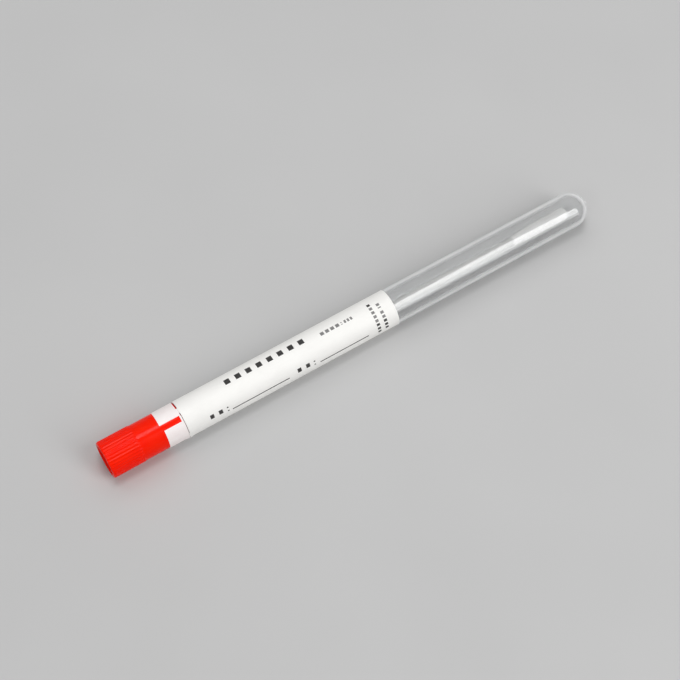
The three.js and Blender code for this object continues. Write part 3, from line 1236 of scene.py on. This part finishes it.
@dataclass
class Label:
    """The paper label: a sleeve on the tube with its print, and a band on the stopper."""

    tube: Tube
    head_radius: float = 6.0
    glue: float = 0.02
    paper: float = 0.09
    start: float = 26.4
    length: float = 75.95
    seam_angle: float = 290.0
    seam_gap: float = 0.3
    band_start: float = 18.9
    band_end: float = 26.22
    edge_run: float = 0.65
    notch_angle: float = 110.6
    notch_width: float = 18.75
    notch_web: float = 0.55
    gape: float = 0.42
    gape_angle: float = 50.0
    gape_width: float = 120.0
    gape_fullness: float = 0.7
    nick: float = 0.09
    nick_angle: float = 98.5
    nick_width: float = 7.0
    tie_count: int = 4
    tie_first: float = 86.5
    tie_width: float = 18.0
    tie_gap: float = 0.03
    tie_shoulder: float = 1.0
    lift: float = 0.3
    lift_angle: float = 196.0
    lift_width: float = 42.0
    lift_run: float = 1.3
    lift_stations: tuple[float, ...] = (0.25, 0.5, 0.8, 1.1)
    angle_step: float = 3.0
    station_step: float = 1.5
    least_step: float = 0.2
    band_steps: int = 8
    edge_steps: int = 3
    fold: float = 50.0
    rows: list[PrintRow] = field(default_factory=lambda: [
        PrintRow(Ink.BLACK, (43.0, 44.85), (69.0, 87.0), 8, 3.77),
        PrintRow(Ink.BLACK, (34.1, 35.45), (145.5, 159.5), 2, 3.05),
        PrintRow(Ink.BLACK, (40.0, 40.55), (147.0, 151.0), 2, 12.0, True),
        PrintRow(Ink.BLACK, (41.7, 62.0), (161.9, 165.5)),
        PrintRow(Ink.BLACK, (65.2, 66.55), (147.5, 162.0), 2, 3.05),
        PrintRow(Ink.BLACK, (71.05, 71.6), (149.5, 153.5), 2, 12.0, True),
        PrintRow(Ink.BLACK, (73.2, 91.0), (163.7, 167.3)),
        PrintRow(Ink.GREY, (76.85, 78.1), (82.0, 93.0), 4, 1.85),
        PrintRow(Ink.GREY, (84.35, 84.8), (83.5, 86.5), 2, 6.0, True),
        PrintRow(Ink.GREY, (85.5, 86.2), (82.5, 92.5), 3, 1.12),
        PrintRow(Ink.BLACK, (94.5, 95.6), (73.5, 82.0)),
        PrintRow(Ink.GREY, (94.5, 95.6), (87.5, 96.0), 4, 13.5, True),
        PrintRow(Ink.BLACK, (94.5, 95.6), (141.5, 149.5), 3, 13.5, True),
        PrintRow(Ink.GREY, (97.2, 98.3), (85.5, 94.0)),
        PrintRow(Ink.GREY, (97.2, 98.3), (98.5, 102.0)),
        PrintRow(Ink.GREY, (97.2, 98.3), (112.0, 120.5), 2, 13.5, True),
        PrintRow(Ink.BLACK, (97.2, 98.3), (139.0, 147.5), 3, 13.5, True),
    ])

    def lifted(self, stations: np.ndarray, angles: np.ndarray) -> np.ndarray:
        """How far the paper has come up beside the slit: a round hill in angle that dies away along it.

        Args:
            stations: Stations.
            angles: Angles.

        Returns:
            The lift of each point.
        """
        hill = smooth_step(1 - angle_apart(angles, self.lift_angle) / (self.lift_width / 2))
        middle = (self.band_end + self.start) / 2
        near = smooth_step(1 - np.abs(stations - middle) / self.lift_run)
        return self.lift * hill * near

    def lattice(self, start: float, end: float, step: float, breaks: Iterable[float]) -> np.ndarray:
        """Even steps with breaks added, without steps that all but touch a break.

        Args:
            start: The first value.
            end: The last value.
            step: The length of a step, about.
            breaks: Values that must be there, if they lie between.

        Returns:
            The values in order.
        """
        fixed = np.unique(np.round([start, end, *[b for b in breaks if start < b < end]], DECIMALS))
        even = np.linspace(start, end, max(2, round((end - start) / step) + 1))
        far = np.abs(even[:, None] - fixed[None, :]).min(axis=1) > step * self.least_step
        return np.unique(np.concatenate((fixed, even[far])))

    def both_sides(self, base: np.ndarray, stations: np.ndarray, angles: np.ndarray
                   ) -> tuple[np.ndarray, np.ndarray]:
        """The paper's outer and inner points, over the radius that it is glued to."""
        inside = base + self.lifted(stations, angles[None, :]) + self.glue
        return rings(inside + self.paper, stations, angles), rings(inside, stations, angles)

    def tie_middles(self, first: float) -> np.ndarray:
        """The angles of the parted ties' middles, in the turn that starts at the first angle."""
        ties = self.tie_first + np.arange(self.tie_count) * FULL_TURN / self.tie_count
        return np.where(ties - self.tie_width / 2 > first, ties, ties + FULL_TURN)

    def sleeve(self, paper: Finish, black: Finish, grey: Finish) -> Piece:
        """The sleeve on the tube: one turn of paper with a butt seam, the parted ties and the print.

        Its outer radius is the tube's at that station plus glue, paper and the lift beside the slit. The
        cells before the first station are the ties.

        Args:
            paper: The finish of the paper.
            black: The finish of the black print.
            grey: The finish of the grey print.

        Returns:
            The sleeve, with ink as further materials on its outer faces.
        """
        outer_radius = self.tube.mouth_radius + self.glue + self.paper
        half_gap = math.degrees(self.seam_gap / outer_radius) / 2
        first = self.seam_angle + half_gap
        last = self.seam_angle - half_gap + FULL_TURN
        blocks = np.array([block for row in self.rows for block in row.blocks()])
        blocks[:, 2:] += FULL_TURN
        inks = [row.ink.value for row in self.rows for _ in range(row.count)]
        ties = self.tie_middles(first)
        tie_edges = [tie + side * self.tie_width / 2 for tie in ties for side in (-1, 1)]
        angles = self.lattice(first, last, self.angle_step, [*blocks[:, 2:].ravel(), *tie_edges])
        stations = self.lattice(self.start, self.start + self.length, self.station_step,
                                [*blocks[:, :2].ravel(), *[self.start + near for near in self.lift_stations]])
        stations = np.concatenate(([self.band_end + self.tie_gap], stations))
        mid_angle = (angles[:-1] + angles[1:]) / 2
        mid_station = (stations[:-1] + stations[1:]) / 2
        present = np.ones((len(mid_station), len(mid_angle)), bool)
        present[0] = np.abs(mid_angle - ties[:, None]).min(axis=0) < self.tie_width / 2
        print_index = np.zeros(present.shape, int)
        for (low, high, left, right), ink in zip(blocks, inks):
            along = (mid_station > low) & (mid_station < high)
            around = (mid_angle > left) & (mid_angle < right)
            print_index[np.outer(along, around)] = ink
        stations = stations[:, None]
        outer, inner = self.both_sides(self.tube.radius_at(stations), stations, angles)
        skin = Skin.of_sheet(outer, inner, present, False, print_index)
        return Piece("label_sleeve", skin, [paper, black, grey], TUBE_BODY, "label_paper", ("tube_label",),
                     sharp_above=self.fold)

    def band(self, paper: Finish) -> Piece:
        """The band on the stopper: its free edge runs back over its wrap, and a notch splits it.

        The free edge lies at start + run · (1 - share of the turn from the notch). The slit edge is drawn
        back where the slit gapes, by gape · cos(π/2 · share of the gape's half width) to a power, up to
        the first tie, and by a small nick in the first tie. The notch stops short of the slit edge.

        Args:
            paper: Its finish.

        Returns:
            The band.
        """
        half_notch = self.notch_width / 2
        first = self.notch_angle + half_notch - FULL_TURN
        tie_edge = self.tie_first - self.tie_width / 2
        nick = [self.nick_angle + side * self.nick_width / 2 for side in (-1.0, -0.5, 0.5, 1.0)]
        breaks = [(b - first) % FULL_TURN + first for b in (tie_edge, tie_edge + self.tie_shoulder, *nick)]
        breaks.append(self.notch_angle - half_notch)
        angles = self.lattice(first, first + FULL_TURN, self.angle_step, breaks)[:-1]
        wrapped = ((angles - self.notch_angle) % FULL_TURN) / FULL_TURN
        free_edge = self.band_start + self.edge_run * (1 - wrapped)
        web = self.band_end - self.notch_web
        wave = np.clip(angle_apart(angles, self.gape_angle) / (self.gape_width / 2), 0, 1)
        gape = self.gape * np.cos(wave * math.pi / 2) ** self.gape_fullness
        gape = gape * ((angles - tie_edge - self.tie_shoulder / 2) % FULL_TURN > FULL_TURN / 2)
        nicked = smooth_step(2 - 2 * angle_apart(angles, self.nick_angle) / self.nick_width)
        slit_edge = self.band_end - gape - self.nick * nicked
        body = free_edge + (web - free_edge) * np.linspace(0, 1, self.band_steps + 1)[:, None]
        edge = web + (slit_edge - web) * np.linspace(0, 1, self.edge_steps + 1)[1:, None]
        stations = np.vstack((body, edge))
        outer, inner = self.both_sides(self.head_radius, stations, angles)
        mid_angle = (angles + np.append(angles[1:], angles[0] + FULL_TURN)) / 2
        present = np.ones((len(stations) - 1, len(angles)), bool)
        present[: self.band_steps, angle_apart(mid_angle, self.notch_angle) < half_notch] = False
        skin = Skin.of_sheet(outer, inner, present, True, np.zeros(present.shape, int))
        return Piece("label_band", skin, [paper], SWAB_BODY, "label_paper", ("stopper_band",),
                     sharp_above=self.fold)


# ---- The studio --------------------------------------------------------------------------------------------


@dataclass(frozen=True)
class SoftBox:
    """A rectangular soft light, in metres, that faces a point. Unless mirrored, no gloss shows it."""

    name: str
    centre: Triple
    aim: Triple
    size: Pair
    radiance: float
    mirrored: bool = True

    def place(self) -> None:
        """Adds the light. Its power is radiance · π · area."""
        lamp = bpy.data.lights.new(self.name, "AREA")
        lamp.shape = "RECTANGLE"
        lamp.size, lamp.size_y = self.size
        lamp.energy = self.radiance * math.pi * self.size[0] * self.size[1]
        made = add_object(self.name, lamp)
        made.location = self.centre
        turn_from(made, Vector(self.centre) - Vector(self.aim))
        made.visible_glossy = self.mirrored


@dataclass
class Studio:
    """Floor, surround, lights and camera."""

    floor_radius: float = 4.0
    floor_columns: int = 96
    floor_rings: int = 12
    ambient: float = 0.35
    surround: Colour = shade(200, 200, 200)
    lights: list[SoftBox] = field(default_factory=lambda: [
        SoftBox("key_softbox", (0.455, -0.803, 0.912), (0.03, 0.0, 0.0), (0.49, 0.87), 4.35),
        SoftBox("low_softbox", (0.5, -1.1265, 0.455), (0.5, 0.0, 0.0), (0.54, 0.34), 2.3),
        SoftBox("end_softbox", (-0.62, -0.32, 0.72), (-0.09, 0.0, 0.0), (0.12, 0.2), 6.5),
        SoftBox("stopper_softbox", (0.05, 0.11, 1.38), (0.05, 0.0, 0.0), (0.34, 0.42), 10.0),
        SoftBox("overhead_softbox", (0.1, 0.75, 1.18), (0.0, 0.0, 0.0), (1.4, 0.75), 1.15, False),
    ])
    target: Triple = (-0.006605, -0.00188, 0.00619)
    camera_azimuth: float = 31.26
    camera_elevation: float = 62.8
    camera_distance: float = 0.522
    lens: float = 87.35
    sensor: float = 36.0
    clip: Pair = (0.01, 50.0)

    def lay_floor(self, finish: Finish) -> None:
        """Adds a round floor at height zero: rings at growing radii, with their faces turned to point up.

        Args:
            finish: Its finish.
        """
        radii = self.floor_radius * np.linspace(0, 1, self.floor_rings + 1)[:, None] ** 2
        grid = rings(radii, np.zeros_like(radii), even_angles(self.floor_columns))[:, :, [1, 2, 0]]
        skin = Skin.of_rings(grid)
        mesh = bpy.data.meshes.new("studio_floor")
        mesh.from_pydata(skin.points.tolist(), [], [face[::-1] for face in skin.faces()])
        mesh.materials.append(finish.material())
        mesh.update()
        made = add_object("studio_floor", mesh)

    def surround_light(self) -> None:
        """An even surround: camera, mirrors and clear plastic see the pale tone, and all else the ambient."""
        world = bpy.data.worlds.new("surround")
        bpy.context.scene.world = world
        graph = Graph(world)
        rays = graph.node("ShaderNodeLightPath").outputs
        seen = Term(graph, rays["Is Camera Ray"])
        for ray in ("Is Glossy Ray", "Is Transmission Ray"):
            seen = seen.math("MAXIMUM", Term(graph, rays[ray]))
        graph.wear({"Color": WHITE, "Strength": self.ambient})
        pale = graph.node("ShaderNodeBackground", None, {"Color": self.surround, "Strength": 1.0})
        graph.mix_shaders(seen, graph.shader.outputs[0], pale.outputs[0])

    def set_camera(self) -> None:
        """Adds a long lens that looks down on the tube from the stopper's side."""
        data = bpy.data.cameras.new("camera")
        data.lens = self.lens
        data.sensor_width = self.sensor
        data.clip_start, data.clip_end = self.clip
        made = add_object("camera", data)
        turn, tilt = math.radians(self.camera_azimuth), math.radians(self.camera_elevation)
        back = Vector((-math.sin(turn) * math.cos(tilt), -math.cos(turn) * math.cos(tilt), math.sin(tilt)))
        made.location = Vector(self.target) + back * self.camera_distance
        turn_from(made, back)
        bpy.context.scene.camera = made

    def set_up(self) -> None:
        """Adds floor, surround, lights and camera."""
        self.lay_floor(StudioFloor())
        self.surround_light()
        for light in self.lights:
            light.place()
        self.set_camera()
        bpy.context.scene.view_settings.view_transform = "Standard"


def main() -> None:
    """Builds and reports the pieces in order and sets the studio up."""
    logging.basicConfig(level=logging.INFO, format="%(name)s: %(message)s")
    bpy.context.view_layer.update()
    placing = Placing.from_frame()
    frosted = FrostedPlastic()
    torn = FrostedPlastic("frosted_plastic_torn", haze=(0.8, 0.9), rim_haze=0.95)
    bore = FrostedPlastic("frosted_plastic_bore", haze=(0.0, 0.02), rim_haze=0.3, skin=0.0, streak=0.03)
    red = RedPlastic()
    fibre = WoundFibre(axis_height=placing.height)
    paper = LabelPaper()
    band_paper = LabelPaper("label_paper_over_red", shade(250, 243, 242), shade(246, 236, 235))
    black = LabelInk()
    grey = LabelInk("label_ink_grey", shade(118, 117, 117), shade(146, 145, 144))
    tube = Tube()
    swab = Swab()
    label = Label(tube)
    pieces = [
        tube.piece(frosted, torn, bore),
        label.sleeve(paper, black, grey),
        Stopper(tube).piece(red),
        label.band(band_paper),
        swab.shaft(WhitePlastic()),
        swab.bud(fibre),
        swab.strands(fibre),
    ]
    for piece in pieces:
        piece.place(placing)
        log.info("%s: %d triangles on %s", piece.name, piece.skin.triangle_count(), piece.body)
    studio = Studio()
    studio.set_up()
    log.info("studio: floor, surround, %d lights and camera", len(studio.lights))


if __name__ == "__main__":
    main()
